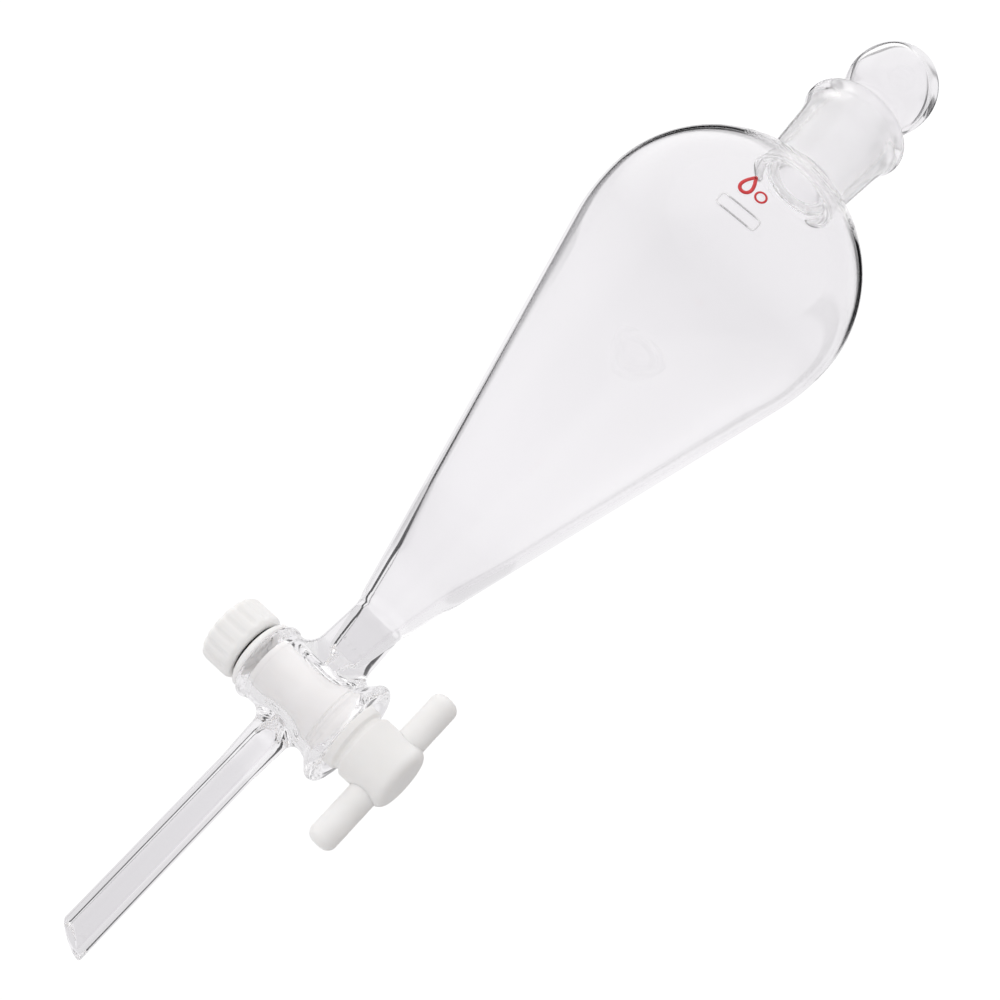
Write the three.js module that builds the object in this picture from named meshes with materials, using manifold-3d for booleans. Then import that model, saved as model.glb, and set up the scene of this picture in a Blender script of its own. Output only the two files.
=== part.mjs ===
// Separatory funnel: a pear-shaped glass funnel, its hollow ball stopper and its PTFE stopcock.
// Millimetres, +Z up along the funnel's axis. The stopcock lies along X, with its head towards +X.
// The origin is the centre of the support ring that the cone hangs in. Heights in the constants are counted
// from the stopcock's axis, and the whole group is lowered at the end so that the ring's plane is z = 0.
import * as THREE from 'three';
import { mergeVertices } from 'three/addons/utils/BufferGeometryUtils.js';
import Module from 'manifold-3d';

const SIDES = 36; // facets round the funnel and the stopcock
const FINE_SIDES = 20; // facets round thin rods and bores
const GAP = 0.2; // running gap round the plug and the stopper
const FIT_GAP = 0.15; // gap between pieces that rest on each other

// Bulb and cone
const BULB = { radius: 41, height: 161.4, upper: 39, lower: 50.8 };
const HOLLOW = { radius: 40.15, upper: 37.5, lower: 50 }; // the wall is thinnest at the bulb's widest circle
const CONE_FOOT = { radius: 7.4, height: 26 };
const HOLLOW_FOOT = { radius: 14.4, height: 60 }; // the cone's wall thickens below this
const RING_RADIUS = 35; // outer radius of the cone where the support ring holds it

// Neck with a 24/29 ground socket: 24 mm wide at its mouth, 29 mm long, taper 1 in 10
const SOCKET = { mouthRadius: 12, length: 29, taper: 0.05, top: 229 };
const NECK = { foot: 13.2, shoulder: 14.1, footHeight: 200.6, topRadius: 14.6, topHeight: 218.5 };
const BEAD = { radius: 16.8, height: 226.4, section: 2.7 };

// Tube between the cone and the stopcock, and the stem below it
const TUBE = { waist: 7.05, waistHeight: 25.2, foot: 7.8, bore: 2.3 };
const STEM = { radius: 4.75, bore: 2.75, flare: 6.2, cutHeight: -77.75, cutAngle: 26.5 };
const PORT_RADIUS = 1.8; // hole through each wall of the stopcock's barrel

// Stopcock barrel, along X
const BARREL = { small: -15, large: 15.6, radius: 10, bead: 10.7, flange: 14.5 };
const PLUG_TAPER = 0.06; // radius gained per millimetre towards the head
const PLUG = { small: -13.2, smallRadius: 6.82, taperEnd: 12, shoulder: 8.8, boreRadius: 2 };
const HEAD = { radius: 8.75, start: 19.2, end: 32.7, neck: 7.8, edge: 2.4 };
const TAIL = { radius: 4.85, end: -26.9 };

// Handle, washer, O-ring and nut
const BAR = { radius: 3.85, x: 27.2, top: 22.6, bottom: -24.4, edge: 2.5 };
const WASHER = { radius: 9.6, step: 8.5, inner: -15.2, outer: -17, stepWidth: 0.7 };
const RING = { centre: 6.1, section: 0.9 };
const NUT = { radius: 9.65, inner: -17.8, outer: -27.5, recess: 7.25, edge: 1.7 };
const FLUTES = { count: 16, radius: 1.5, depth: 0.35 };

// Hollow stopper
const BALL = { radius: 13.6, halfHeight: 14, height: 244.8 };
const STOPPER = { waist: 10.9, waistHeight: 232.2, bottom: 201, wall: 1.6, mouth: 6.5 };

const RING_HEIGHT = BULB.height - coneDrop();

/** Height from the bulb's widest circle down to where the cone's outside is RING_RADIUS. */
function coneDrop() {
  const touch = tangentPoint(BULB, CONE_FOOT);
  const slope = (touch.x - CONE_FOOT.radius) / (touch.y - CONE_FOOT.height);
  return BULB.height - touch.y + (touch.x - RING_RADIUS) / slope;
}

/** Where the line from a cone's foot touches the lower half of a pear's ellipse. */
function tangentPoint({ radius, lower }, coneFoot) {
  const foot = new THREE.Vector2(coneFoot.radius / radius, (coneFoot.height - BULB.height) / lower);
  const angle = Math.atan2(foot.y, foot.x) + Math.acos(1 / foot.length());
  return new THREE.Vector2(radius * Math.cos(angle), BULB.height + lower * Math.sin(angle));
}

/** Points on an ellipse, from angle a to angle b in degrees. */
function arc(x, y, rx, ry, a, b, steps) {
  return Array.from({ length: steps + 1 }, (_, i) => {
    const angle = THREE.MathUtils.degToRad(a + ((b - a) * i) / steps);
    return [x + rx * Math.cos(angle), y + ry * Math.sin(angle)];
  });
}

/** A pear's outline from where the cone meets the bulb, up to the given radius on the shoulder. */
function pear(shape, coneFoot, topRadius) {
  const { radius, upper, lower } = shape;
  const touch = tangentPoint(shape, coneFoot);
  const start = THREE.MathUtils.radToDeg(Math.asin((touch.y - BULB.height) / lower));
  const end = THREE.MathUtils.radToDeg(Math.acos(topRadius / radius));
  const below = arc(0, BULB.height, radius, lower, start, 0, 3);
  const above = arc(0, BULB.height, radius, upper, 0, end, 7);
  return [...below, ...above.slice(1)];
}

const wasm = await Module();
wasm.setup();

/** A manifold solid from a closed three.js geometry. */
function solid(geometry) {
  const bare = geometry.clone();
  bare.deleteAttribute('normal');
  bare.deleteAttribute('uv');
  const merged = mergeVertices(bare, 1e-5);
  const index = merged.index.array;
  const triangles = [];
  for (let i = 0; i < index.length; i += 3) {
    const [a, b, c] = [index[i], index[i + 1], index[i + 2]];
    if (a !== b && b !== c && c !== a) triangles.push(a, b, c);
  }
  return new wasm.Manifold(new wasm.Mesh({
    numProp: 3,
    vertProperties: new Float32Array(merged.attributes.position.array),
    triVerts: new Uint32Array(triangles),
  }));
}

/** A solid of revolution about Z. The profile is [radius, height] pairs, anticlockwise. */
function turnedZ(profile, sides = SIDES) {
  const points = profile.map(([radius, height]) => new THREE.Vector2(Math.max(radius, 0), height));
  return solid(new THREE.LatheGeometry(points, sides).rotateX(Math.PI / 2));
}

/** A solid of revolution about X. The profile is [radius, x] pairs, anticlockwise. */
function turnedX(profile, sides = SIDES) {
  const points = profile.map(([radius, x]) => new THREE.Vector2(Math.max(radius, 0), x));
  return solid(new THREE.LatheGeometry(points, sides).rotateZ(-Math.PI / 2));
}

/** A closed ring profile, which ends where it starts. */
function closed(profile) {
  return [...profile, profile[0]];
}

/** A round rod along Z between two heights. */
function rodZ(radius, low, high, sides = FINE_SIDES) {
  return turnedZ([[0, low], [radius, low], [radius, high], [0, high]], sides);
}

/** Radius of the plug's cone at x. */
function plugRadius(x) {
  return PLUG.smallRadius + PLUG_TAPER * (x - PLUG.small);
}

/** Radius of the ground socket at a height. */
function socketRadius(height) {
  return SOCKET.mouthRadius - SOCKET.taper * (SOCKET.top - height);
}

/** The funnel's outside: tube, cone, bulb, neck and rim bead. */
function funnelOutside() {
  const bead = { x: BEAD.radius - BEAD.section, y: BEAD.height };
  return turnedZ([
    [0, 0],
    [TUBE.foot, 0],
    [TUBE.foot, 11],
    [TUBE.waist, TUBE.waistHeight],
    [TUBE.waist + 0.1, TUBE.waistHeight + 1.2],
    [CONE_FOOT.radius + 0.66, CONE_FOOT.height + 2.5],
    ...pear(BULB, CONE_FOOT, NECK.shoulder),
    [NECK.foot + 0.2, NECK.footHeight - 0.9],
    [NECK.foot, NECK.footHeight],
    [NECK.topRadius, NECK.topHeight],
    [NECK.topRadius + 0.8, NECK.topHeight + 2.6],
    ...arc(bead.x, bead.y, BEAD.section, BEAD.section, -40, 80, 4),
    [SOCKET.mouthRadius + 1.4, SOCKET.top],
    [0, SOCKET.top],
  ]);
}

/** The funnel's hollow, from the port in the barrel's wall up through the ground socket. */
function funnelInside() {
  const bottom = SOCKET.top - SOCKET.length;
  return turnedZ([
    [0, 7],
    [PORT_RADIUS, 7],
    [PORT_RADIUS, 9.4],
    [TUBE.bore, 10.8],
    [TUBE.bore + 1.3, 14.4],
    [TUBE.bore + 3, 22],
    [TUBE.bore + 3.6, 26.5],
    [8.6, 41.5],
    [HOLLOW_FOOT.radius, HOLLOW_FOOT.height],
    ...pear(HOLLOW, HOLLOW_FOOT, 14),
    [socketRadius(bottom) + 0.7, bottom - 1.4],
    [socketRadius(bottom), bottom + 0.2],
    [socketRadius(SOCKET.top - 1.2), SOCKET.top - 1.2],
    [SOCKET.mouthRadius + 1, SOCKET.top + 1],
    [0, SOCKET.top + 1],
  ]);
}

/** The barrel's outside: bead on the small end, flared flange on the large end. */
function barrelOutside() {
  const { small, large, radius, bead, flange } = BARREL;
  return turnedX([
    [0, small],
    ...arc(bead - 1.9, small + 1.9, 1.9, 1.9, -90, 55, 4),
    [radius, small + 4.4],
    [radius + 0.1, 4.5],
    [radius + 0.8, 8.4],
    [radius + 2.2, 11.2],
    [flange - 0.7, 12.4],
    ...arc(flange - 1.2, large - 1.4, 1.2, 1.4, -25, 90, 3),
    [0, large],
  ]);
}

/** The barrel's tapered bore, with a flared mouth on the large end. */
function barrelInside() {
  const { small, large } = BARREL;
  const mouth = large - 3;
  return turnedX([
    [0, small - 1],
    [plugRadius(small - 1) + GAP, small - 1],
    [plugRadius(mouth) + GAP, mouth],
    [plugRadius(mouth) + GAP + 0.5, large - 1.6],
    [plugRadius(mouth) + GAP + 1.5, large + 0.1],
    [0, large + 0.1],
  ]);
}

/** The stem, flared where it meets the barrel and cut off at a slant with its point towards the head. */
function stem() {
  const rise = STEM.radius / Math.cos(THREE.MathUtils.degToRad(STEM.cutAngle));
  const outside = turnedZ([
    [0, STEM.cutHeight - rise],
    [STEM.radius, STEM.cutHeight - rise],
    [STEM.radius, -24],
    [STEM.radius + 0.6, -12.5],
    [STEM.flare, -9.4],
    [STEM.flare, 0],
    [0, 0],
  ]);
  const below = new THREE.BoxGeometry(40, 40, 20).translate(0, 0, -10);
  below.rotateY(THREE.MathUtils.degToRad(STEM.cutAngle)).translate(0, 0, STEM.cutHeight);
  return outside.subtract(solid(below));
}

/** The stem's bore, which narrows to the port in the barrel's wall. */
function stemBore() {
  return turnedZ([
    [0, STEM.cutHeight - 10],
    [STEM.bore, STEM.cutHeight - 10],
    [STEM.bore, -14],
    [PORT_RADIUS, -9.6],
    [PORT_RADIUS, -6],
    [0, -6],
  ], FINE_SIDES);
}

function glassBody() {
  return funnelOutside().add(barrelOutside()).add(stem())
    .subtract(funnelInside()).subtract(barrelInside()).subtract(stemBore());
}

/** Hollow stopper, open at its lower end: a ball on a waist over the ground cone. */
function stopper() {
  const { waist, waistHeight, bottom, wall, mouth } = STOPPER;
  const coneTop = SOCKET.top + 0.8;
  const low = socketRadius(bottom) - GAP;
  return turnedZ(closed([
    [mouth, bottom],
    [low - 0.8, bottom],
    [low, bottom + 1],
    [socketRadius(coneTop) - GAP, coneTop],
    [waist, waistHeight],
    ...arc(0, BALL.height, BALL.radius, BALL.halfHeight, -48, 90, 8),
    ...arc(0, BALL.height, BALL.radius - wall, BALL.halfHeight - wall, 90, -48, 6),
    [waist - wall, waistHeight],
    [socketRadius(coneTop) - GAP - wall, coneTop - 1.5],
    [low - wall, bottom + 2.5],
    [mouth, bottom + 1.2],
  ]));
}

/** PTFE plug: threaded tail, tapered body with a groove, shoulder, neck and head, cross-bored twice. */
function stopcockPlug() {
  const { small, taperEnd, shoulder } = PLUG;
  const body = turnedX([
    [0, TAIL.end],
    [TAIL.radius - 0.5, TAIL.end],
    [TAIL.radius, TAIL.end + 0.5],
    [TAIL.radius, small],
    [PLUG.smallRadius - 0.5, small],
    [plugRadius(small + 0.5), small + 0.5],
    [plugRadius(9), 9],
    [plugRadius(9) - 0.4, 9.3],
    [plugRadius(9) - 0.4, 10],
    [plugRadius(10.3), 10.3],
    [plugRadius(taperEnd), taperEnd],
    [shoulder, taperEnd + 2],
    [shoulder, HEAD.start - 2.2],
    [HEAD.neck, HEAD.start - 1.6],
    [HEAD.neck, HEAD.start - 0.8],
    [HEAD.radius - 0.4, HEAD.start],
    [HEAD.radius, HEAD.start + 1],
    ...arc(HEAD.radius - HEAD.edge, HEAD.end - HEAD.edge, HEAD.edge, HEAD.edge, 0, 90, 3),
    [0, HEAD.end],
  ]);
  const flowBore = rodZ(PLUG.boreRadius, -12, 12);
  const barHole = rodZ(BAR.radius + FIT_GAP, -12, 12).translate(BAR.x, 0, 0);
  return body.subtract(flowBore).subtract(barHole);
}

/** The handle's rod, which sits a little low in its hole. */
function handleBar() {
  const { radius, top, bottom, edge } = BAR;
  return turnedZ([
    [0, bottom],
    ...arc(radius - edge, bottom + edge, edge, edge, -90, 0, 3),
    ...arc(radius - edge, top - edge, edge, edge, 0, 90, 3),
    [0, top],
  ], FINE_SIDES);
}

/** Stepped washer: a full disc against the barrel's bead, and a smaller raised face towards the O-ring. */
function washer() {
  const { radius, step, inner, outer, stepWidth } = WASHER;
  const hole = TAIL.radius + GAP;
  return turnedX(closed([
    [hole, outer],
    [step, outer],
    [radius - 0.3, outer + stepWidth],
    [radius, outer + stepWidth + 0.4],
    [radius, inner],
    [hole, inner],
  ]));
}

function oRing() {
  const x = WASHER.outer - FIT_GAP - RING.section;
  return turnedX(arc(RING.centre, x, RING.section, RING.section, 0, 360, 8));
}

/** Fluted nut with rounded rims, bored to pass over the tail's thread and recessed round the O-ring. */
function tensionNut() {
  const { radius, inner, outer, recess, edge } = NUT;
  const floor = WASHER.outer - 2 * (FIT_GAP + RING.section);
  const hole = TAIL.radius + GAP;
  let nut = turnedX(closed([
    [hole, outer],
    ...arc(radius - edge, outer + edge, edge, edge, -90, 0, 2),
    ...arc(radius - edge, inner - edge, edge, edge, 0, 90, 2),
    [recess, inner],
    [recess, floor],
    [hole, floor],
  ]));
  for (let i = 0; i < FLUTES.count; i++) {
    const flute = turnedX([
      [0, outer - 1],
      [FLUTES.radius, outer - 1],
      [FLUTES.radius, inner - edge],
      [0, inner - edge + 0.6],
    ], 8).translate(0, 0, radius + FLUTES.radius - FLUTES.depth);
    nut = nut.subtract(flute.rotate([(360 * i) / FLUTES.count, 0, 0]));
  }
  return nut;
}

const GLASS = { color: 0xf3f3f7, roughness: 0.03, metalness: 0, transparent: true, opacity: 0.35 };
const PTFE = { color: 0xf4f2ee, roughness: 0.42, metalness: 0 };
const RUBBER = { color: 0x141414, roughness: 0.6, metalness: 0 };

/** A named mesh of one piece. */
function piece(name, shape, look, x = 0) {
  const { vertProperties, triVerts } = shape.getMesh();
  const geometry = new THREE.BufferGeometry();
  geometry.setAttribute('position', new THREE.BufferAttribute(vertProperties, 3));
  geometry.setIndex(new THREE.BufferAttribute(triVerts, 1));
  geometry.computeVertexNormals();
  const mesh = new THREE.Mesh(geometry, new THREE.MeshStandardMaterial(look));
  mesh.name = name;
  mesh.position.x = x;
  return mesh;
}

/** Everything that is turned with the plug, or sits on its tail. */
function stopcock() {
  const group = new THREE.Group();
  group.add(
    piece('stopcock_plug', stopcockPlug(), PTFE),
    piece('handle_bar', handleBar(), PTFE, BAR.x),
    piece('ptfe_washer', washer(), PTFE),
    piece('o_ring', oRing(), RUBBER),
    piece('tension_nut', tensionNut(), PTFE),
  );
  return group;
}

const funnel = new THREE.Group();
funnel.add(
  piece('glass_body', glassBody(), GLASS),
  piece('stopper', stopper(), GLASS),
  stopcock(),
);
funnel.position.z = -RING_HEIGHT;

export default funnel;
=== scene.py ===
import math

import bmesh
import bpy
import numpy as np
from mathutils import Matrix, Vector


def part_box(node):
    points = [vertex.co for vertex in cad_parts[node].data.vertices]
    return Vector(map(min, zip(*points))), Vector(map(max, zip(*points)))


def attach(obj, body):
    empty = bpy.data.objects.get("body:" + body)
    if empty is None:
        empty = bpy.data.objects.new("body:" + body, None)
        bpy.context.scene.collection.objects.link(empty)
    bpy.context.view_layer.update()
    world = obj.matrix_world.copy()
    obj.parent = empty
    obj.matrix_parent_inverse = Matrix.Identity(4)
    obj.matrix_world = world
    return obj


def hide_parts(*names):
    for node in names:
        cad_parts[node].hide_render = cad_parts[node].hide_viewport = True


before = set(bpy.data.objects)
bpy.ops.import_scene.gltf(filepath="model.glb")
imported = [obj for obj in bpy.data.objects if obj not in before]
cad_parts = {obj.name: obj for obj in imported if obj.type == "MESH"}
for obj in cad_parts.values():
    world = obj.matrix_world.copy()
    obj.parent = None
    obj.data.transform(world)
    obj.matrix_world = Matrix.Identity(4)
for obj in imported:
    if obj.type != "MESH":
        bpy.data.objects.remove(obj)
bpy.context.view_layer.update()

# Outlines are in millimetres. Heights are counted from the stopcock's axis, and x along that axis.
MM = 0.001
AXIS_Z = sum(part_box("ptfe_washer")[i].z for i in (0, 1)) / 2

# Facets round each turned piece
FUNNEL_SIDES, STEM_SIDES, STOPPER_SIDES = 160, 72, 128
TURNED_SIDES, NUT_SIDES, ROD_SIDES, HOLE_SIDES = 96, 192, 64, 48

# Bulb, cone and neck
BULB = {"radius": 41.0, "height": 161.4, "upper": 39.0, "lower": 50.8}
HOLLOW = {"radius": 40.15, "upper": 37.5, "lower": 50.0}
CONE_FOOT = (7.4, 26.0)
HOLLOW_FOOT = (14.4, 60.0)  # the cone's wall thickens below this
SOCKET = {"mouth": 12.0, "taper": 0.05, "top": 229.0}  # a 24/29 joint
GROUND = (201.0, 227.2)  # heights between which the socket is ground
NECK = {"foot": 13.2, "top": 14.6, "top_height": 218.5}
BEAD = {"radius": 16.8, "height": 226.4, "section": 2.7}
BALL = {"radius": 13.6, "half_height": 14.0, "height": 244.8, "wall": 1.6, "foot": 236.0}

# Stopcock barrel, tube and stem
BARREL = {"small": -15.0, "large": 15.6, "radius": 10.0, "bead": 10.7, "flange": 14.5}
STEM = {"radius": 4.75, "bore": 2.75, "cut_height": -77.75, "cut_angle": math.radians(26.5)}
PORT_RADIUS = 1.8  # hole through each wall of the barrel
JOIN_TOP, JOIN_LOW = 16.0, -20.0  # between these the glass is one blended surface
NET_STEP = 0.38  # grid of the blended surface
NET_REACH = (17.1, 16.2)  # half width of that grid along x and y
BARREL_BLEND, STEM_BLEND = 4.5, 3.0  # fillets where tube and stem run into the barrel
BORE_BLEND, MOUTH_BLEND = 0.4, 0.5  # fillets between the bores, and round their mouths

# Plug, handle, washer, ring and nut
PLUG = {
    "small": -13.2, "small_radius": 6.82, "taper": 0.06, "taper_end": 12, "groove": 9.0, "shoulder": 8.8,
}
HEAD = {"radius": 8.75, "start": 19.2, "end": 32.7, "neck": 7.8, "edge": 2.4}
TAIL = {"radius": 4.85, "end": -26.9, "pitch": 1.5, "depth": 0.55}
BAR = {"radius": 3.85, "x": 27.2, "top": 22.6, "bottom": -24.4, "edge": 2.6}
WASHER = {"radius": 9.6, "step": 8.5, "inner": -15.2, "outer": -17.0}
RING = {"centre": 6.1, "section": 0.95, "x": -18.05}
NUT = {"radius": 9.65, "inner": -17.8, "outer": -27.5, "edge": 1.7, "recess": 7.25, "floor": -19.1}
FLUTES = {"count": 16, "depth": 0.4, "run_out": 1.6}
PLUG_BORE = 2.0
STOPPER_GAP = 0.08  # gap round the stopper's ground cone
BORE_GAP = 0.12  # gap round the plug
THREAD_GAP = 0.1  # gap between the thread's crests and the holes it passes through
TURN_STEPS = 9  # sections along one turn of the thread


# --- Outlines -------------------------------------------------------------------------------------


def arc(x, y, rx, ry, start, end, steps):
    """Points on an ellipse from one angle to another, in degrees."""
    angles = np.radians(np.linspace(start, end, steps + 1))
    return [(x + rx * math.cos(a), y + ry * math.sin(a)) for a in angles]


def rounded(corners, steps=6, closed=False):
    """An outline with its corners (x, y, fillet) turned into arcs. Fillet 0 leaves a corner sharp."""
    points = []
    count = len(corners)
    for i, (x, y, fillet) in enumerate(corners):
        here = Vector((x, y))
        if fillet == 0 or (not closed and i in (0, count - 1)):
            points.append((x, y))
            continue
        back = (Vector(corners[i - 1][:2]) - here).normalized()
        ahead = (Vector(corners[(i + 1) % count][:2]) - here).normalized()
        half = back.angle(ahead) / 2
        cut = fillet / math.tan(half)
        centre = here + (back + ahead).normalized() * fillet / math.sin(half)
        start, end = here + back * cut - centre, here + ahead * cut - centre
        turn = start.angle_signed(end)
        first = math.atan2(start.y, start.x)
        guard = min(0.12 * fillet, 0.8)
        points.append(tuple(here + back * (cut + guard)))
        for k in range(steps + 1):
            a = first - turn * k / steps
            points.append((centre.x + fillet * math.cos(a), centre.y + fillet * math.sin(a)))
        points.append(tuple(here + ahead * (cut + guard)))
    return points


def tangent_angle(shape, cone_foot):
    """Angle on a pear's lower ellipse where the line from its cone's foot touches it."""
    foot = Vector((cone_foot[0] / shape["radius"], (cone_foot[1] - BULB["height"]) / shape["lower"]))
    return math.atan2(foot.y, foot.x) + math.acos(1 / foot.length)


def pear(shape, cone_foot, top_radius):
    """A pear's outline, from where the cone touches it up to a radius on the shoulder."""
    radius, upper, lower = shape["radius"], shape["upper"], shape["lower"]
    start = math.degrees(tangent_angle(shape, cone_foot))
    end = math.degrees(math.acos(top_radius / radius))
    below = arc(0, BULB["height"], radius, lower, start, 0, 10)
    return below + arc(0, BULB["height"], radius, upper, 0, end, 30)[1:]


def socket_radius(height):
    return SOCKET["mouth"] - SOCKET["taper"] * (SOCKET["top"] - height)


def plug_radius(x):
    return PLUG["small_radius"] + PLUG["taper"] * (x - PLUG["small"])


TUBE_OUTSIDE = [
    (7.8, -1, 0), (7.8, 11, 6), (7.05, 25.0, 4), (7.3, 26.9, 3), (8.2, 29.0, 4),
]
TUBE_INSIDE = [
    (PORT_RADIUS, 7, 0), (PORT_RADIUS, 9.4, 0.8), (2.2, 10.8, 0.8), (3.2, 12.6, 1.5), (4.4, 22, 20),
    (5.1, 26.5, 10), (8.5, 41.5, 60), (*HOLLOW_FOOT, 80),
]
STEM_OUTSIDE = [(STEM["radius"], -30), (STEM["radius"], -24), (5.35, -12.5), (6.2, -9.4), (6.2, 1)]
STEM_INSIDE = [
    (STEM["bore"], -30), (STEM["bore"], -15), (2.3, -12), (PORT_RADIUS, -9.6), (PORT_RADIUS, -6),
]


def stem_radius(height):
    """The stem's outer radius, which grows towards the barrel."""
    radii, heights = zip(*STEM_OUTSIDE)
    return float(np.interp(height, heights, radii))


def cone_step(shape, cone_foot, share):
    """A point on the straight cone, a share of the way from its foot to the bulb, and a zero fillet."""
    angle = tangent_angle(shape, cone_foot)
    top = (shape["radius"] * math.cos(angle), BULB["height"] + shape["lower"] * math.sin(angle))
    return tuple(foot + share * (end - foot) for foot, end in zip(cone_foot, top)) + (0,)


def above(outline, height):
    """The part of a rising outline above a height, starting exactly there."""
    points = np.array(outline)
    radius = float(np.interp(height, points[:, 1], points[:, 0]))
    return [(radius, height)] + [tuple(p) for p in points if p[1] > height + 0.05]


def funnel_outline():
    """The funnel from the join up its outside, over the rim and down its inside to the join again."""
    tube = rounded(TUBE_OUTSIDE + [cone_step(BULB, CONE_FOOT, 0.06)])
    outside = above(tube, JOIN_TOP + NET_STEP)
    outside += pear(BULB, CONE_FOOT, 18.0)
    outside += rounded([
        (18.0, 196.4, 0),
        (NECK["foot"] + 0.1, 198.7, 2.4),
        (NECK["foot"] + 0.3, 204.0, 0),
        (NECK["top"], NECK["top_height"], 0),
        (NECK["top"] + 0.5, 221.6, 3.2),
        (16.0, 224.0, 0),
    ])[1:]
    bead = BEAD["radius"] - BEAD["section"]
    outside += arc(bead, BEAD["height"], BEAD["section"], BEAD["section"], -32, 112, 16)
    inside = [(12.45, 228.2), (12.05, GROUND[1] + 0.3), (socket_radius(GROUND[1]), GROUND[1])]
    inside += [(socket_radius(h), h) for h in np.linspace(GROUND[1] - 1.5, GROUND[0], 12)]
    foot = [(socket_radius(GROUND[0]), GROUND[0], 0), (10.5, 197.9, 4.4), (15.0, 196.2, 0)]
    inside += rounded(foot, 10)[2:-2]
    inside += pear(HOLLOW, HOLLOW_FOOT, 15.0)[::-1]
    drain = rounded(TUBE_INSIDE + [cone_step(HOLLOW, HOLLOW_FOOT, 0.1)])
    inside += above(drain, JOIN_TOP + NET_STEP)[::-1]
    return outside + inside


def fine(outline, longest=1.6):
    """An outline whose long straight stretches are divided."""
    points = [outline[0]]
    for (ax, ay), (bx, by) in zip(outline, outline[1:]):
        count = math.ceil(math.hypot(bx - ax, by - ay) / longest)
        for k in range(1, count + 1):
            points.append((ax + (bx - ax) * k / count, ay + (by - ay) * k / count))
    return points


# --- Meshes ---------------------------------------------------------------------------------------


def turned(outline, sides, along="z", shape=None, closed=False):
    """Vertices and faces of a solid of revolution. shape(r, h, angles) varies the radius round it."""
    angles = np.linspace(0, 2 * math.pi, sides, endpoint=False)
    rings, points = [], []
    for radius, height in outline:
        start = len(points)
        if radius < 1e-6:
            points.append((0.0, 0.0, height))
            rings.append([start] * sides)
            continue
        radii = np.full(sides, radius) if shape is None else shape(radius, height, angles)
        points += zip(radii * np.cos(angles), radii * np.sin(angles), [height] * sides)
        rings.append(list(range(start, start + sides)))
    faces = []
    pairs = list(zip(rings, rings[1:])) + ([(rings[-1], rings[0])] if closed else [])
    for low, high in pairs:
        for i in range(sides):
            j = (i + 1) % sides
            corners = [low[i], low[j], high[j], high[i]]
            faces.append(list(dict.fromkeys(corners)))
    points = np.array(points, float)
    return (points[:, [2, 0, 1]] if along == "x" else points), faces


def mesh_object(name, points, faces, materials):
    """An object from points in millimetres, placed in the part's frame in metres, shaded smooth."""
    placed = np.asarray(points, float) * MM + (0, 0, AXIS_Z)
    mesh = bpy.data.meshes.new(name)
    mesh.from_pydata(placed.tolist(), [], [list(map(int, face)) for face in faces])
    mesh.validate()
    mesh.shade_smooth()
    for material in materials:
        mesh.materials.append(material)
    piece = bpy.data.objects.new(name, mesh)
    bpy.context.scene.collection.objects.link(piece)
    return piece


def fit(piece, body, node):
    """The piece rides on a body and stands for a CAD node, whose own part is hidden."""
    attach(piece, body)
    if node:
        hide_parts(node)
    return piece


def polygon_distance(x, y, outline):
    """Signed distance from points to a closed outline, below zero inside it."""
    nearest = np.full(x.shape, np.inf)
    inside = np.zeros(x.shape, bool)
    for (ax, ay), (bx, by) in zip(outline, outline[1:] + outline[:1]):
        ex, ey = bx - ax, by - ay
        share = np.clip(((x - ax) * ex + (y - ay) * ey) / (ex * ex + ey * ey), 0, 1)
        nearest = np.minimum(nearest, (x - ax - ex * share) ** 2 + (y - ay - ey * share) ** 2)
        if ey != 0:
            inside ^= ((ay > y) != (by > y)) & (x < ex * (y - ay) / ey + ax)
    return np.where(inside, -1.0, 1.0) * np.sqrt(nearest)


def joined(a, b, blend):
    """Distance to two shapes together, with a fillet of about the blend's size between them."""
    share = np.clip(0.5 + 0.5 * (b - a) / blend, 0, 1)
    return b + (a - b) * share - blend * share * (1 - share)


def half_plane(outline):
    """An open (radius, height) outline closed beyond the axis, so that the axis isn't an edge."""
    return [(-6, outline[0][1])] + outline + [(-6, outline[-1][1])]


BEAD_SECTION = 1.9
BEAD_CENTRE = (BARREL["bead"] - BEAD_SECTION, BARREL["small"] + BEAD_SECTION)
BARREL_OUTSIDE = (
    [(BEAD_CENTRE[0] - 1.2, BARREL["small"])]
    + arc(*BEAD_CENTRE, BEAD_SECTION, BEAD_SECTION, -90, 50, 10)
    + rounded([
        (10.25, -11.6, 0),
        (9.9, -10.6, 1.5),
        (BARREL["radius"], -2, 0),
        (10.2, 6, 8),
        (11.6, 10.6, 3),
        (13.6, 12.4, 0),
    ])[1:-1]
    + arc(BARREL["flange"] - 1.3, BARREL["large"] - 1.5, 1.3, 1.5, -40, 100, 10)
    + [(11.6, BARREL["large"] - 0.1)]
)


def bore_outline():
    """The barrel's tapered bore with its flared mouth, as (radius, x)."""
    small, mouth = BARREL["small"], BARREL["large"] - 3
    return rounded([
        (plug_radius(small - 3) + BORE_GAP, small - 3, 0),
        (plug_radius(mouth) + BORE_GAP, mouth, 4),
        (plug_radius(mouth) + BORE_GAP + 0.9, mouth + 2.0, 2.0),
        (plug_radius(mouth) + BORE_GAP + 3.4, mouth + 4.0, 0),
    ])


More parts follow.
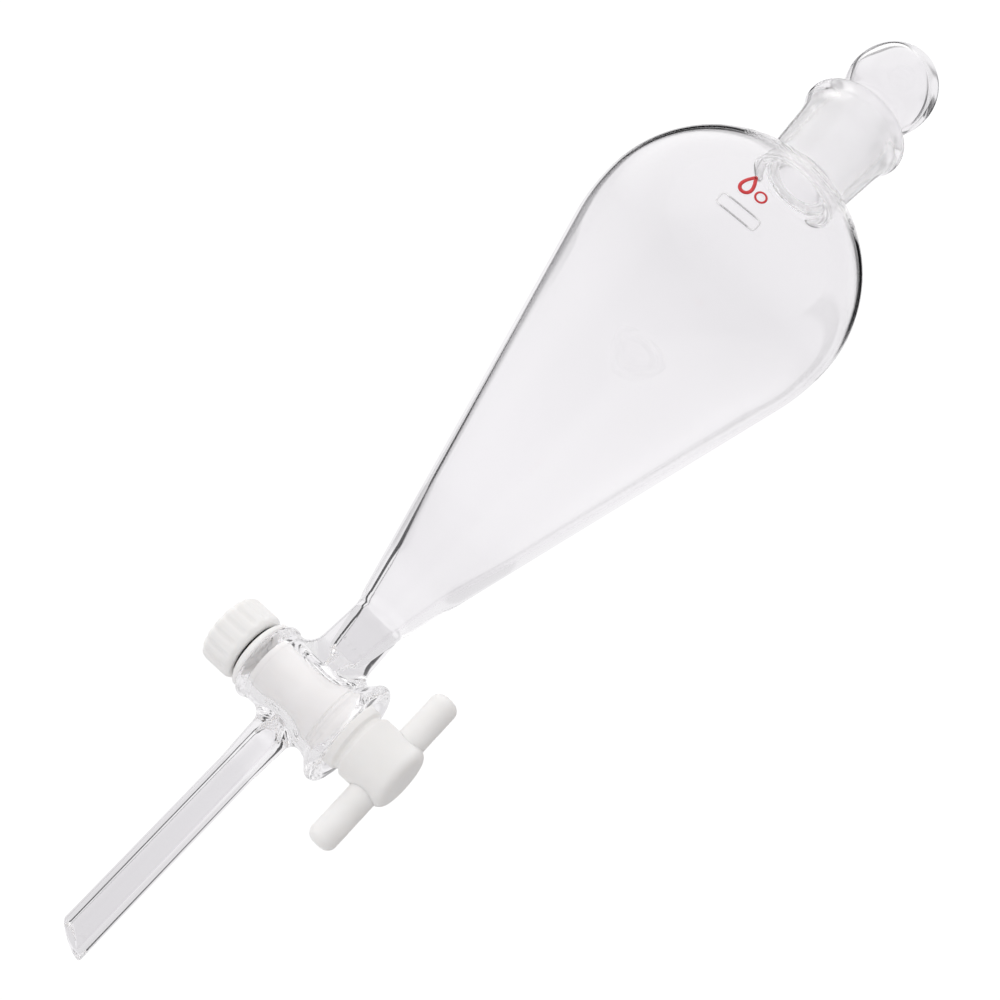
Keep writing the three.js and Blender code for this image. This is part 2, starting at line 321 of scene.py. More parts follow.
def stopcock_glass(points):
    """Signed distance to the glass round the stopcock: tube, barrel and stem, less their bores."""
    x, y, z = points.T
    upright = np.hypot(x, y)
    lying = np.hypot(y, z)
    tube = polygon_distance(upright, z, half_plane(rounded(TUBE_OUTSIDE)))
    barrel = polygon_distance(lying, x, half_plane(BARREL_OUTSIDE))
    stem = polygon_distance(upright, z, half_plane(STEM_OUTSIDE))
    drain = polygon_distance(upright, z, half_plane(rounded(TUBE_INSIDE)))
    bore = polygon_distance(lying, x, half_plane(bore_outline()))
    outlet = polygon_distance(upright, z, half_plane(STEM_INSIDE))
    solid = joined(joined(barrel, tube, BARREL_BLEND), stem, STEM_BLEND)
    hollow = joined(joined(bore, drain, BORE_BLEND), outlet, BORE_BLEND)
    return -joined(-solid, hollow, MOUTH_BLEND)


def pulled(points, field, reach):
    """Points moved onto a field's zero surface, none further than reach at a step."""
    nudge = 1e-3
    for _ in range(6):
        slope = np.stack([
            (field(points + offset) - field(points - offset)) / (2 * nudge)
            for offset in np.eye(3) * nudge
        ], 1)
        length = np.sum(slope**2, 1) + 1e-6
        move = slope * (field(points) / length)[:, None]
        size = np.linalg.norm(move, axis=1)
        points = points - move * np.minimum(1, reach / np.maximum(size, 1e-9))[:, None]
    return points


def surface_net(field, low, high, step):
    """A field's zero surface in a box, as quads between one vertex for each grid cell it crosses."""
    counts = np.round((high - low) / step).astype(int) + 1
    lines = [start + step * np.arange(count) for start, count in zip(low, counts)]
    grid = np.stack(np.meshgrid(*lines, indexing="ij"), -1)
    inside = (field(grid.reshape(-1, 3)) < 0).reshape(counts)
    corners = sum(
        inside[i:counts[0] - 1 + i, j:counts[1] - 1 + j, k:counts[2] - 1 + k].astype(int)
        for i in (0, 1) for j in (0, 1) for k in (0, 1)
    )
    crossed = (corners > 0) & (corners < 8)
    number = np.full(crossed.shape, -1)
    number[crossed] = np.arange(crossed.sum())
    points = pulled(low + (np.argwhere(crossed) + 0.5) * step, field, step / 2)
    quads = []
    for axis in range(3):
        b, c = (axis + 1) % 3, (axis + 2) % 3
        first = np.take(inside, range(counts[axis] - 1), axis)
        change = np.argwhere(first != np.take(inside, range(1, counts[axis]), axis))
        within = (change[:, b] > 0) & (change[:, b] < counts[b] - 1)
        change = change[within & (change[:, c] > 0) & (change[:, c] < counts[c] - 1)]
        ring = []
        for db, dc in ((-1, -1), (0, -1), (0, 0), (-1, 0)):
            cell = change.copy()
            cell[:, b] += db
            cell[:, c] += dc
            ring.append(number[tuple(cell.T)])
        quad = np.stack(ring, 1)
        entering = ~first[tuple(change.T)]
        quad[entering] = quad[entering][:, ::-1]
        quads.append(quad)
    return points, np.concatenate(quads)


def stem_outline():
    """The stem from the join down its outside and up its bore, with the rounded rim of a cut tube."""
    low, radius, bore = STEM["cut_height"], STEM["radius"], STEM["bore"]
    rim = rounded([
        (radius, low + 3, 0), (radius, low, 0.6), (3.7, low, 0), (bore, low, 0.35), (bore, low + 3, 0),
    ])
    outer = [(radius, h) for h in np.linspace(-26, low + 12, 8)]
    start = [(stem_radius(h), h) for h in (JOIN_LOW - NET_STEP, -22.5, -24)]
    inner = [(bore, h) for h in np.linspace(low + 12, JOIN_LOW - NET_STEP, 10)]
    return start + outer + rim + inner


def sheared(points):
    """The stem's lower end cut at a slant: points near the cut are lowered towards the head's side."""
    reach = 8  # height over which the slant dies out
    share = np.clip((STEM["cut_height"] + reach - points[:, 2]) / reach, 0, 1)
    points[:, 2] -= share * points[:, 0] * math.tan(STEM["cut_angle"])
    return points


def add_faces(bm, points, faces):
    vertices = [bm.verts.new(p) for p in points]
    for face in faces:
        bm.faces.new([vertices[i] for i in face])


def edge_ring(bm, height, radius_above, radius_below):
    """Open edges near a height whose distance from the axis lies between two radii."""
    def near(vertex):
        radius = math.hypot(vertex.co.x, vertex.co.y)
        return abs(vertex.co.z - height) < 2 * NET_STEP and radius_below < radius < radius_above

    return [e for e in bm.edges if e.is_boundary and near(e.verts[0]) and near(e.verts[1])]


def levelled(bm, height, outer, inner):
    """Puts the net's open rings at one height and on the radii of the turned glass that meets them."""
    middle = (outer + inner) / 2
    for radius, low, high in ((outer, middle, outer + 2), (inner, 0, middle)):
        ring = edge_ring(bm, height, high, low)
        for vertex in {v for e in ring for v in e.verts}:
            flat = Vector((vertex.co.x, vertex.co.y)).normalized() * radius
            vertex.co = (flat.x, flat.y, height)


def stitched(bm, height, middle):
    """Bridges the gap between the net's rings and the turned glass's, outside and inside."""
    for low, high in ((middle, middle + 8), (0, middle)):
        bmesh.ops.bridge_loops(bm, edges=edge_ring(bm, height, high, low))


def glass_ripple(radius, height, angles):
    """Small unevenness that the flame leaves round the neck's foot and the cone's foot."""
    wave = np.sin(3 * angles + 0.9 * height) + 0.7 * np.sin(5 * angles - 1.7 * height + 1.0)
    seal = 0.09 * math.exp(-(((height - 198.5) / 3.2) ** 2)) if radius < 26 else 0.0
    foot = 0.06 * math.exp(-(((height - 26.5) / 2.0) ** 2))
    return radius + (seal + foot) * wave


def glass_funnel(clear, ground):
    low = np.array([-NET_REACH[0], -NET_REACH[1], JOIN_LOW])
    high = np.array([*NET_REACH, JOIN_TOP])
    bm = bmesh.new()
    add_faces(bm, *surface_net(stopcock_glass, low, high, NET_STEP))
    tube = above(rounded(TUBE_OUTSIDE), JOIN_TOP - NET_STEP / 2)[0][0]
    drain = above(rounded(TUBE_INSIDE), JOIN_TOP - NET_STEP / 2)[0][0]
    stem = stem_radius(JOIN_LOW + NET_STEP / 2)
    levelled(bm, JOIN_TOP - NET_STEP / 2, tube, drain)
    levelled(bm, JOIN_LOW + NET_STEP / 2, stem, STEM["bore"])
    add_faces(bm, *turned(fine(funnel_outline()), FUNNEL_SIDES, shape=glass_ripple))
    lower, lower_faces = turned(fine(stem_outline()), STEM_SIDES)
    add_faces(bm, sheared(lower), lower_faces)
    stitched(bm, JOIN_TOP, (tube + drain) / 2)
    stitched(bm, JOIN_LOW, (stem + STEM["bore"]) / 2)
    bmesh.ops.recalc_face_normals(bm, faces=bm.faces)
    for face in bm.faces:
        centre = face.calc_center_median()
        radius = math.hypot(centre.x, centre.y)
        in_socket = GROUND[0] < centre.z < GROUND[1] and radius < socket_radius(centre.z) + 0.3
        face.material_index = 1 if in_socket else 0
    for vertex in bm.verts:
        vertex.co = vertex.co * MM + Vector((0, 0, AXIS_Z))
    mesh = bpy.data.meshes.new("glass_funnel")
    bm.to_mesh(mesh)
    bm.free()
    mesh.shade_smooth()
    mesh.materials.append(clear)
    mesh.materials.append(ground)
    piece = bpy.data.objects.new("glass_funnel", mesh)
    bpy.context.scene.collection.objects.link(piece)
    return piece


def ball_ripple(radius, height, angles):
    """Slight unevenness inside the blown ball. The outside is smoother."""
    across, up = radius / (BALL["radius"] - 1), (height - BALL["height"]) / (BALL["half_height"] - 1)
    in_ball = math.hypot(across, up) < 1 and height > BALL["foot"]
    size = 0.3 if in_ball else 0.02
    wave = np.sin(2 * angles + 0.8) + np.sin(3 * angles + 0.35 * height)
    return radius * (1 + size * 0.06 * wave)


def ball_stopper(clear, ground):
    ball, wall, gap = BALL, BALL["wall"], STOPPER_GAP
    cone_top, bottom = 229.8, 201.0
    cone = [(socket_radius(h) - gap, h) for h in np.linspace(bottom + 2, cone_top, 14)]
    outside = rounded([
        (0, bottom, 0),
        (socket_radius(bottom) - gap, bottom, 1.4),
        (socket_radius(bottom + 2) - gap, bottom + 2, 0),
    ])[:-1]
    outside += cone
    outside += rounded([
        (socket_radius(cone_top) - gap, cone_top, 0),
        (11.6, 230.6, 0.8),
        (10.9, 232.0, 1.5),
        (10.75, 233.6, 0),
    ])[1:-1]
    outside += arc(0, ball["height"], ball["radius"], ball["half_height"], -46, 90, 34)
    inner = arc(0, ball["height"], ball["radius"] - wall, ball["half_height"] - wall, 90, -46, 30)
    inner += rounded([
        (9.3, 233.4, 0),
        (9.25, 231.6, 1.5),
        (10.0, 228.5, 2),
        (8.8, bottom + wall, 2.5),
        (0, bottom + wall, 0),
    ])
    points, faces = turned(outside + inner, STOPPER_SIDES, shape=ball_ripple)
    piece = mesh_object("ball_stopper", points, faces, [clear, ground])
    for polygon in piece.data.polygons:
        centre = polygon.center
        height = (centre.z - AXIS_Z) / MM
        radius = math.hypot(centre.x, centre.y) / MM
        if bottom + 1.9 < height < cone_top - 0.6 and radius > socket_radius(height) - gap - 0.3:
            polygon.material_index = 1
    return piece


def thread(pitch, depth, crest, limits):
    """A shape for turned(): a screw thread cut into radii near the crest's, between two x limits."""
    def shape(radius, x, angles):
        if abs(radius - crest) > 0.05:
            return np.full(len(angles), radius)
        phase = (x / pitch - angles / (2 * math.pi)) % 1.0
        groove = 1 - np.abs(2 * phase - 1)
        ends = np.clip(min(x - limits[0], limits[1] - x) / (0.7 * pitch), 0, 1)
        return radius - depth * ends * np.clip(1.25 * groove - 0.12, 0, 1)

    return shape


def stopcock_plug(ptfe):
    tail, head = TAIL, HEAD
    small, groove = PLUG["small"], PLUG["groove"]
    end, crest = tail["end"], tail["radius"]
    outline = [(0, end), (crest - 0.6, end), (crest - 0.5, end + 0.1)]
    outline += [(crest, x) for x in np.arange(end + 0.6, small - 0.4, tail["pitch"] / TURN_STEPS)]
    outline += rounded([
        (crest, small, 0.2),
        (PLUG["small_radius"] - 0.1, small, 0.4),
        (plug_radius(small + 1), small + 1, 0),
        (plug_radius(groove), groove, 0.15),
        (plug_radius(groove) - 0.4, groove + 0.3, 0.12),
        (plug_radius(groove) - 0.4, groove + 0.9, 0.12),
        (plug_radius(groove + 1.2), groove + 1.2, 0.15),
        (plug_radius(PLUG["taper_end"]), PLUG["taper_end"], 0.4),
        (PLUG["shoulder"], 13.8, 0.8),
        (PLUG["shoulder"], head["start"] - 2.3, 0.5),
        (head["neck"], head["start"] - 1.6, 0.35),
        (head["neck"], head["start"] - 0.9, 0.35),
        (head["radius"], head["start"] + 0.2, 0.8),
        (head["radius"], head["end"], head["edge"]),
        (0, head["end"], 0),
    ], steps=8)
    shape = thread(tail["pitch"], tail["depth"], crest, (end, small))
    points, faces = turned(outline, TURNED_SIDES, "x", shape)
    piece = mesh_object("stopcock_plug_turned", points, faces, [ptfe])
    cut_hole(piece, PLUG_BORE, 0, HOLE_SIDES)
    cut_hole(piece, BAR["radius"] + 0.04, BAR["x"], ROD_SIDES)
    piece.data.shade_smooth()
    sharpen(piece, 40)
    return piece


def cut_hole(piece, radius, x, sides):
    """Cuts an upright hole right through a piece."""
    half = 12
    points, faces = turned([(0, -half), (radius, -half), (radius, half), (0, half)], sides)
    cut(piece, mesh_object("cutter", points + (x, 0, 0), faces, []))


def cut(piece, cutter):
    """Cuts one object from another and removes the cutter."""
    modifier = piece.modifiers.new("cut", "BOOLEAN")
    modifier.operation = "DIFFERENCE"
    modifier.solver = "EXACT"
    modifier.object = cutter
    bpy.context.view_layer.update()
    evaluated = piece.evaluated_get(bpy.context.evaluated_depsgraph_get())
    mesh = bpy.data.meshes.new_from_object(evaluated)
    piece.modifiers.clear()
    piece.data = mesh
    bpy.data.objects.remove(cutter)


def sharpen(piece, degrees):
    """Edges that turn by more than an angle are shaded sharp."""
    bm = bmesh.new()
    bm.from_mesh(piece.data)
    for edge in bm.edges:
        edge.smooth = edge.is_boundary or edge.calc_face_angle(0) < math.radians(degrees)
    bm.to_mesh(piece.data)
    bm.free()


def handle_bar(ptfe):
    outline = rounded([
        (0, BAR["bottom"], 0),
        (BAR["radius"], BAR["bottom"], BAR["edge"]),
        (BAR["radius"], 0, 0),
        (BAR["radius"], BAR["top"], BAR["edge"]),
        (0, BAR["top"], 0),
    ], steps=10)
    points, faces = turned(outline, ROD_SIDES)
    return mesh_object("handle_rod", points + (BAR["x"], 0, 0), faces, [ptfe])


def stepped_washer(ptfe):
    hole = TAIL["radius"] + THREAD_GAP
    radius, step, inner, outer = WASHER.values()
    outline = rounded([
        (hole, outer, 0.15),
        (step, outer, 0.3),
        (8.9, -16.4, 0.25),
        (radius, -16.2, 0.3),
        (radius, inner, 0.3),
        (hole, inner, 0.15),
    ], closed=True)
    points, faces = turned(outline, TURNED_SIDES, "x", closed=True)
    return mesh_object("stepped_washer", points, faces, [ptfe])


def rubber_ring(rubber):
    outline = arc(RING["centre"], RING["x"], RING["section"], RING["section"], 0, 360, 24)[:-1]
    points, faces = turned(outline, TURNED_SIDES, "x", closed=True)
    return mesh_object("rubber_ring", points, faces, [rubber])


def fluted(radius, x, angles):
    """The nut's shape: flutes that run out before its inner rim, and the thread in its bore."""
    if radius < TAIL["radius"] + 0.5:
        bore = thread(TAIL["pitch"], TAIL["depth"], radius, (NUT["outer"], NUT["floor"]))
        return bore(radius, x, angles)
    wave = np.abs(np.cos(angles * FLUTES["count"] / 2)) ** 5
    to_rim = np.clip((NUT["inner"] - 0.8 - x) / FLUTES["run_out"], 0, 1)
    to_axis = np.clip((radius - 6.9) / 1.5, 0, 1)
    return radius - FLUTES["depth"] * wave * (to_rim * to_axis)


def fluted_nut(ptfe):
    radius, inner, outer, edge, recess, floor = NUT.values()
    hole = TAIL["radius"] + THREAD_GAP
    rim = rounded([
        (hole, outer, 0.25),
        (6.6, outer, 0),
        (radius, outer, edge),
        (radius, inner, edge),
        (recess, inner, 0.2),
        (recess, floor, 0.2),
        (hole, floor, 0.2),
    ], steps=10, closed=True)
    body = []
    for a, b in zip(rim, rim[1:]):
        steps = max(1, round(abs(b[1] - a[1]) / 0.6))
        for k in range(steps):
            body.append((a[0] + (b[0] - a[0]) * k / steps, a[1] + (b[1] - a[1]) * k / steps))
    bore = [(hole, x) for x in np.arange(floor - 0.6, outer + 0.5, -TAIL["pitch"] / TURN_STEPS)]
    points, faces = turned(body + [rim[-1]] + bore, NUT_SIDES, "x", fluted, closed=True)
    return mesh_object("fluted_nut", points, faces, [ptfe])


# --- Printed mark ---------------------------------------------------------------------------------


PRINT_LOW, PRINT_TOP = 0.005, 0.05  # the print's faces above the glass


def bulb_radius(height):
    """The bulb's outer radius near its widest circle."""
    up = height - BULB["height"]
    return BULB["radius"] * math.sqrt(1 - (up / (BULB["upper"] if up > 0 else BULB["lower"])) ** 2)


def on_bulb(across, up, centre_angle, centre_height, lift):
    """A flat design's point wrapped onto the bulb's outside, in millimetres."""
    height = centre_height + up
    radius = bulb_radius(height) + lift
    angle = centre_angle + across / BULB["radius"]
    return (radius * math.sin(angle), -radius * math.cos(angle), height)


def printed_band(name, line, width, centre_angle, centre_height, ink):
    """A closed band of print along a line on the bulb, with a real but tiny thickness."""
    line = [Vector(p) for p in line]
    count = len(line)
    points, faces = [], []
    for i, here in enumerate(line):
        along = (line[(i + 1) % count] - line[i - 1]).normalized()
        side = Vector((-along.y, along.x)) * width / 2
        for edge, lift in ((side, PRINT_LOW), (side, PRINT_TOP), (-side, PRINT_TOP), (-side, PRINT_LOW)):
            points.append(on_bulb(here.x + edge.x, here.y + edge.y, centre_angle, centre_height, lift))
    for i in range(count):
        j = (i + 1) % count
        for k in range(4):
            m = (k + 1) % 4
            faces.append([4 * i + k, 4 * j + k, 4 * j + m, 4 * i + m])
    return mesh_object(name, points, faces, [ink])


def drop_line(size):
    """A drop's outline: round below, drawn out to a point above."""
    points = []
    for t in np.linspace(0, 2 * math.pi, 56, endpoint=False):
        taper = math.sin(t / 2) ** 1.3
        points.append((size * 0.74 * math.sin(t) * taper, size * (math.cos(t) - 0.1)))
    return points


def ring_line(radius, across, up):
    return arc(across, up, radius, radius, 0, 360, 40)[:-1]


def plate_line(width, height):
    """A rounded plate's outline."""
    half, up = width / 2, height / 2
    corners = ((-half, -up), (half, -up), (half, up), (-half, up))
    return rounded([(*corner, up * 0.6) for corner in corners], closed=True)


# --- Materials ------------------------------------------------------------------------------------

GLASS_IOR = 1.473


def material(name, **sockets):
    """A material with one Principled shader and its plain sockets set."""
    made = bpy.data.materials.new(name)
    made.use_nodes = True
    shader = made.node_tree.nodes["Principled BSDF"]
    for key, value in sockets.items():
        shader.inputs[key.replace("_", " ")].default_value = value
    return made, made.node_tree, shader


def noise(tree, scale, detail=2.0, stretch=(1, 1, 1)):
    """A noise texture in the object's own coordinates, stretched along its axes."""
    place = tree.nodes.new("ShaderNodeTexCoord")
    mapping = tree.nodes.new("ShaderNodeMapping")
    mapping.inputs["Scale"].default_value = stretch
    texture = tree.nodes.new("ShaderNodeTexNoise")
    texture.inputs["Scale"].default_value = scale
    texture.inputs["Detail"].default_value = detail
    tree.links.new(place.outputs["Object"], mapping.inputs["Vector"])
    tree.links.new(mapping.outputs["Vector"], texture.inputs["Vector"])
    return texture.outputs["Fac"]


def bump(tree, shader, height, strength, distance, before=None):
    """A bump of some depth, in metres, driven by a height."""
    node = tree.nodes.new("ShaderNodeBump")
    node.inputs["Strength"].default_value = strength
    node.inputs["Distance"].default_value = distance
    tree.links.new(height, node.inputs["Height"])
    if before is not None:
        tree.links.new(before, node.inputs["Normal"])
    tree.links.new(node.outputs["Normal"], shader.inputs["Normal"])
    return node.outputs["Normal"]


def ramp(tree, source, stops):
    """A colour ramp on a number, from (place, colour) stops."""
    node = tree.nodes.new("ShaderNodeValToRGB")
    node.color_ramp.interpolation = "EASE"
    elements = node.color_ramp.elements
    while len(elements) < len(stops):
        elements.new(0.5)
    for element, (place, colour) in zip(elements, stops):
        element.position = place
        element.color = (*colour, 1)
    tree.links.new(source, node.inputs["Fac"])
    return node.outputs["Color"]


def rough(tree, shader, source, low, high):
    """Roughness between two values, from a number."""
    node = tree.nodes.new("ShaderNodeMapRange")
    node.inputs["To Min"].default_value = low
    node.inputs["To Max"].default_value = high
    tree.links.new(source, node.inputs["Value"])
    tree.links.new(node.outputs["Result"], shader.inputs["Roughness"])


def clear_glass():
    made, tree, shader = material(
        "clear_glass",
        Base_Color=(0.975, 0.971, 0.977, 1),
        Roughness=0.0,
        IOR=GLASS_IOR,
        Transmission_Weight=1.0,
    )
    drawn = noise(tree, 60, 1.5, (1, 1, 0.25))
    bump(tree, shader, drawn, 0.25, 0.00012)
    return made


def ground_glass():
    made, tree, shader = material(
        "ground_glass", Base_Color=(1, 1, 1, 1), IOR=GLASS_IOR, Transmission_Weight=0.9
    )
    grain = noise(tree, 2600, 3)
    rough(tree, shader, grain, 0.28, 0.4)
    bump(tree, shader, grain, 0.4, 0.00005)
    return made


def white_ptfe():
    made, tree, shader = material(
        "white_ptfe",
        IOR=1.38,
        Subsurface_Weight=0.35,
        Subsurface_Radius=(0.9, 0.85, 0.8),
        Subsurface_Scale=0.0016,
    )
    cloud = noise(tree, 90, 3)
    tint = ramp(tree, cloud, [(0.3, (0.88, 0.87, 0.855)), (0.7, (0.92, 0.912, 0.9))])
    tree.links.new(tint, shader.inputs["Base Color"])
    grain = noise(tree, 700, 4)
    rough(tree, shader, grain, 0.36, 0.52)
    turning = noise(tree, 900, 1, (1, 0.02, 0.02))
    first = bump(tree, shader, turning, 0.25, 0.00004)
    bump(tree, shader, grain, 0.2, 0.00005, first)
    return made


def black_rubber():
    made, tree, shader = material("black_rubber", Roughness=0.5, Specular_IOR_Level=0.4)
    grain = noise(tree, 1500, 3)
    tint = ramp(tree, grain, [(0.35, (0.009, 0.009, 0.01)), (0.7, (0.022, 0.022, 0.023))])
    tree.links.new(tint, shader.inputs["Base Color"])
    bump(tree, shader, grain, 0.4, 0.00006)
    return made


def ink(name, colour, roughness):
    """Fired-on print, a little uneven."""
    made, tree, shader = material(name, Roughness=roughness)
    grain = noise(tree, 1800, 3)
    lighter = tuple(min(1, c * 1.25 + 0.02) for c in colour)
    tree.links.new(ramp(tree, grain, [(0.35, colour), (0.75, lighter)]), shader.inputs["Base Color"])
    bump(tree, shader, grain, 0.3, 0.00003)
    return made


# --- Camera, lights and floor ---------------------------------------------------------------------

FOCAL = 1.530  # focal length as a share of the picture's width
TILT = math.radians(17)  # how far the stopper's end leans away
SWING = math.radians(15.8)  # how far the stopcock's head is turned to the camera
ROLL = math.radians(43.9)  # how far the funnel leans clockwise in the picture
DISTANCE = 0.3982  # from the camera to the axis
CENTRE_HEIGHT = 71.06 * MM + AXIS_Z  # the axis point that the camera looks at
SIDE_SHIFT = 0.0009  # how far the camera looks past the axis, to the right

ROOM_DARK = (0.02, 0.02, 0.022)  # the gaps that make the glass's dark edges
OVERHEAD_LIGHT = (1.2, 1.195, 1.19)
TABLE_GREY = (0.62, 0.61, 0.61)
SHADE, LIGHT = (0.14, 0.12, 0.11), (1.3, 1.3, 1.31)  # what lights the matt pieces, from side to side
PAGE_WHITE = (1.05, 1.05, 1.05)
FLOOR_DROP = 0.24  # from the stem's tip down to the floor
FLOOR_RADIUS = 1.2


def view_axes():
    """The photograph's right, up and forward directions if the funnel stood upright in it."""
    forward = Vector((
        -math.sin(SWING) * math.cos(TILT),
        math.cos(SWING) * math.cos(TILT),
        math.sin(TILT),
    ))
    up = (Vector((0, 0, 1)) - forward * forward.z).normalized()
    return forward.cross(up), up, forward


def camera_axes():
    """The photograph's own right and up, and the direction away from the camera."""
    right, up, forward = view_axes()
    across = right * math.cos(ROLL) + up * math.sin(ROLL)
    height = up * math.cos(ROLL) - right * math.sin(ROLL)
    return across, height, forward


def add_camera():
    right = view_axes()[0]
    camera_right, camera_up, forward = camera_axes()
    data = bpy.data.cameras.new("camera")
    data.sensor_width = 36
    data.lens = FOCAL * data.sensor_width
    data.clip_start = 0.01
    camera = bpy.data.objects.new("camera", data)
    place = Vector((0, 0, CENTRE_HEIGHT)) + right * SIDE_SHIFT - forward * DISTANCE
    turn = Matrix((camera_right, camera_up, -forward)).transposed()
    camera.matrix_world = Matrix.Translation(place) @ turn.to_4x4()
    bpy.context.scene.collection.objects.link(camera)
    bpy.context.scene.camera = camera


def maths(tree, operation, *values):
    """A maths node on numbers or sockets."""
    node = tree.nodes.new("ShaderNodeMath")
    node.operation = operation
    for socket, value in zip(node.inputs, values):
        if isinstance(value, (int, float)):
            socket.default_value = value
        else:
            tree.links.new(value, socket)
    return node.outputs["Value"]


def smooth(tree, value, start, end):
    """0 before a start and 1 past an end, eased between."""
    node = tree.nodes.new("ShaderNodeMapRange")
    node.interpolation_type = "SMOOTHSTEP"
    node.inputs["From Min"].default_value = start
    node.inputs["From Max"].default_value = end
    tree.links.new(value, node.inputs["Value"])
    return node.outputs["Result"]


def overlap(tree, *edges):
    """The region inside several soft edges, each a (value, start, end) for smooth()."""
    shares = [smooth(tree, *edge) for edge in edges]
    inside = shares[0]
    for share in shares[1:]:
        inside = maths(tree, "MULTIPLY", inside, share)
    return inside


def component(tree, axis):
    """How far a ray's direction goes along an axis."""
    place = tree.nodes.new("ShaderNodeTexCoord")
    dot = tree.nodes.new("ShaderNodeVectorMath")
    dot.operation = "DOT_PRODUCT"
    dot.inputs[1].default_value = axis
    tree.links.new(place.outputs["Generated"], dot.inputs[0])
    return dot.outputs["Value"]


def mixed(tree, share, first, second):
    """A colour between two, each a plain colour or a socket."""
    node = tree.nodes.new("ShaderNodeMix")
    node.data_type = "RGBA"
    tree.links.new(share, node.inputs["Factor"])
    for key, colour in (("A", first), ("B", second)):
        if isinstance(colour, tuple):
            node.inputs[key].default_value = (*colour, 1)
        else:
            tree.links.new(colour, node.inputs[key])
    return node.outputs["Result"]


def background(tree, colour):
    node = tree.nodes.new("ShaderNodeBackground")
    if isinstance(colour, tuple):
        node.inputs["Color"].default_value = (*colour, 1)
    else:
        tree.links.new(colour, node.inputs["Color"])
    return node.outputs["Background"]


def glass_surround(tree):
    """What shows in the glass: a pale backdrop, a dark gap on each side, a soft light overhead."""
    across, height, away = (component(tree, axis) for axis in camera_axes())
    right, up = (component(tree, axis) for axis in view_axes()[:2])
    over = maths(tree, "SUBTRACT", height, maths(tree, "MULTIPLY_ADD", across, 0.3, 0.45))
    gap = overlap(tree, (over, -0.015, 0.015), (over, 0.22, 0.17), (right, -0.1, -0.3))
    side = overlap(
        tree, (across, 0.41, 0.44), (across, 0.66, 0.6), (height, -0.12, -0.06), (right, 0.1, 0.25)
    )
    dark = maths(tree, "MULTIPLY", maths(tree, "MAXIMUM", gap, side), smooth(tree, away, 0.0, 0.15))
    backdrop = ramp(tree, maths(tree, "ADD", up, 0.5), [
        (0.12, (0.74, 0.73, 0.745)),
        (0.3, (0.78, 0.77, 0.785)),
        (0.36, (0.89, 0.88, 0.895)),
        (0.5, (0.94, 0.93, 0.945)),
        (0.61, (0.9, 0.89, 0.905)),
        (0.69, (0.85, 0.84, 0.855)),
        (0.76, (0.9, 0.89, 0.905)),
    ])
    pale = mixed(tree, smooth(tree, height, 0.6, 0.8), backdrop, OVERHEAD_LIGHT)
    low = component(tree, view_direction(0.6, -0.6, -0.5))
    pale = mixed(tree, smooth(tree, low, 0.4, 1.0), pale, TABLE_GREY)
    return mixed(tree, dark, pale, ROOM_DARK)


def view_direction(right, up, away):
    """A direction given along the photograph's right, up and away from the camera."""
    axes = view_axes()
    return (axes[0] * right + axes[1] * up + axes[2] * away).normalized()


def add_world():
    """White for the camera, a graded light for matt surfaces, and the studio for glass and gloss."""
    world = bpy.data.worlds.new("studio")
    world.use_nodes = True
    world.cycles.sampling_method = "NONE"
    tree = world.node_tree
    tree.nodes.clear()
    out = tree.nodes.new("ShaderNodeOutputWorld")
    path = tree.nodes.new("ShaderNodeLightPath")
    side = component(tree, view_direction(-0.85, 0.45, 0.1))
    lit = maths(tree, "MULTIPLY_ADD", side, 0.5, 0.5)
    graded = mixed(tree, lit, SHADE, LIGHT)
    surface = background(tree, glass_surround(tree))
    for ray, colour in (("Is Diffuse Ray", graded), ("Is Camera Ray", PAGE_WHITE)):
        choice = tree.nodes.new("ShaderNodeMixShader")
        tree.links.new(path.outputs[ray], choice.inputs["Fac"])
        tree.links.new(surface, choice.inputs[1])
        tree.links.new(background(tree, colour), choice.inputs[2])
        surface = choice.outputs["Shader"]
    tree.links.new(surface, out.inputs["Surface"])
    bpy.context.scene.world = world


def add_floor():
    """A pale round floor, well below the funnel."""
    bm = bmesh.new()
    bmesh.ops.create_circle(bm, cap_ends=True, radius=FLOOR_RADIUS, segments=96)
    mesh = bpy.data.meshes.new("floor")
    bm.to_mesh(mesh)
    bm.free()
    made, tree, shader = material("floor_paint", Roughness=0.8)
    tint = ramp(tree, noise(tree, 6, 3), [(0.3, (0.86, 0.86, 0.865)), (0.7, (0.88, 0.88, 0.885))])
    tree.links.new(tint, shader.inputs["Base Color"])
    mesh.materials.append(made)
    floor = bpy.data.objects.new("floor", mesh)
    floor.location.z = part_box("glass_body")[0].z - FLOOR_DROP
    bpy.context.scene.collection.objects.link(floor)


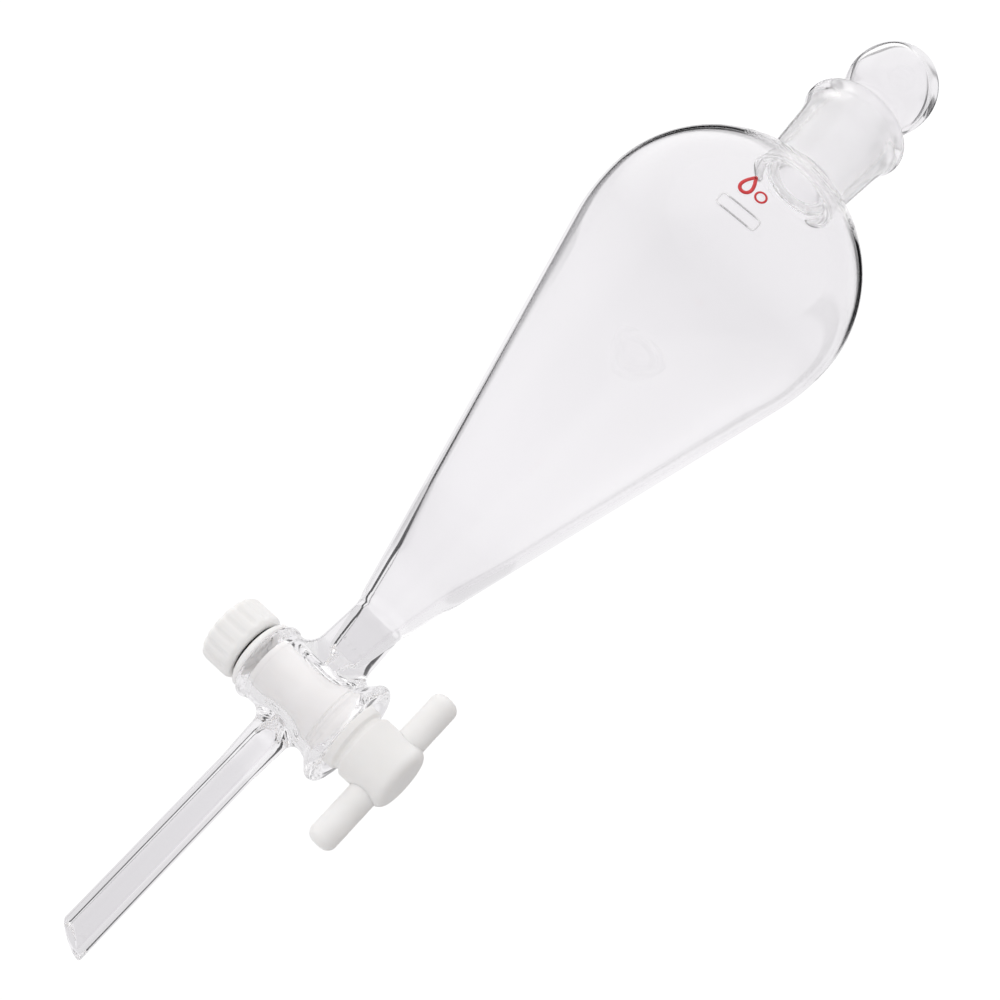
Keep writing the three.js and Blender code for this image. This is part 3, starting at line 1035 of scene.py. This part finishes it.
def add_softbox(name, offset, size, power):
    """A soft light facing the bulb, placed to the photograph's right, up and towards its camera."""
    right, up, forward = view_axes()
    target = Vector((0, 0, CENTRE_HEIGHT))
    data = bpy.data.lights.new(name, "AREA")
    data.shape = "RECTANGLE"
    data.size, data.size_y = size
    data.energy = power
    light = bpy.data.objects.new(name, data)
    light.location = target + right * offset[0] + up * offset[1] - forward * offset[2]
    light.rotation_euler = (light.location - target).to_track_quat("Z", "Y").to_euler()
    light.visible_glossy = False
    light.visible_transmission = False
    bpy.context.scene.collection.objects.link(light)


def set_render():
    scene = bpy.context.scene
    scene.view_settings.view_transform = "Standard"
    scene.cycles.max_bounces = 64
    scene.cycles.transmission_bounces = 48
    scene.cycles.glossy_bounces = 48
    scene.cycles.transparent_max_bounces = 16
    scene.cycles.use_denoising = True
    scene.cycles.blur_glossy = 0.0


# --- The object -----------------------------------------------------------------------------------

add_camera()
add_world()
add_floor()
add_softbox("key", (-0.45, 0.5, 0.5), (0.5, 0.5), 0.5)
set_render()

clear = clear_glass()
ground = ground_glass()
ptfe = white_ptfe()
rubber = black_rubber()

funnel = fit(glass_funnel(clear, ground), "glass", "glass_body")
stopper = fit(ball_stopper(clear, ground), "stopper", "stopper")
fit(stopcock_plug(ptfe), "plug", "stopcock_plug")
fit(handle_bar(ptfe), "plug", "handle_bar")
fit(stepped_washer(ptfe), "seal_stack", "ptfe_washer")
fit(rubber_ring(rubber), "seal_stack", "o_ring")
fit(fluted_nut(ptfe), "nut", "tension_nut")

red = ink("red_print", (0.6, 0.02, 0.025), 0.35)
pale = ink("pale_print", (0.82, 0.81, 0.82), 0.4)
MARK_ANGLE = SWING - math.radians(9.8)
MARK_HEIGHT, PLATE_HEIGHT = 165.3, 157.0
for name, line, width in (
    ("drop_mark", drop_line(3.0), 1.0),
    ("ring_mark", ring_line(1.5, 4.6, -1.3), 0.6),
):
    line = [(across - 2.2, up) for across, up in line]
    mark = printed_band(name, line, width, MARK_ANGLE, MARK_HEIGHT, red)
    fit(mark, "glass", None)
plate = printed_band("plate_mark", plate_line(12.5, 3.4), 0.5, MARK_ANGLE + 0.015, PLATE_HEIGHT, pale)
fit(plate, "glass", None)

for see_through in (funnel, stopper):
    see_through.visible_shadow = False
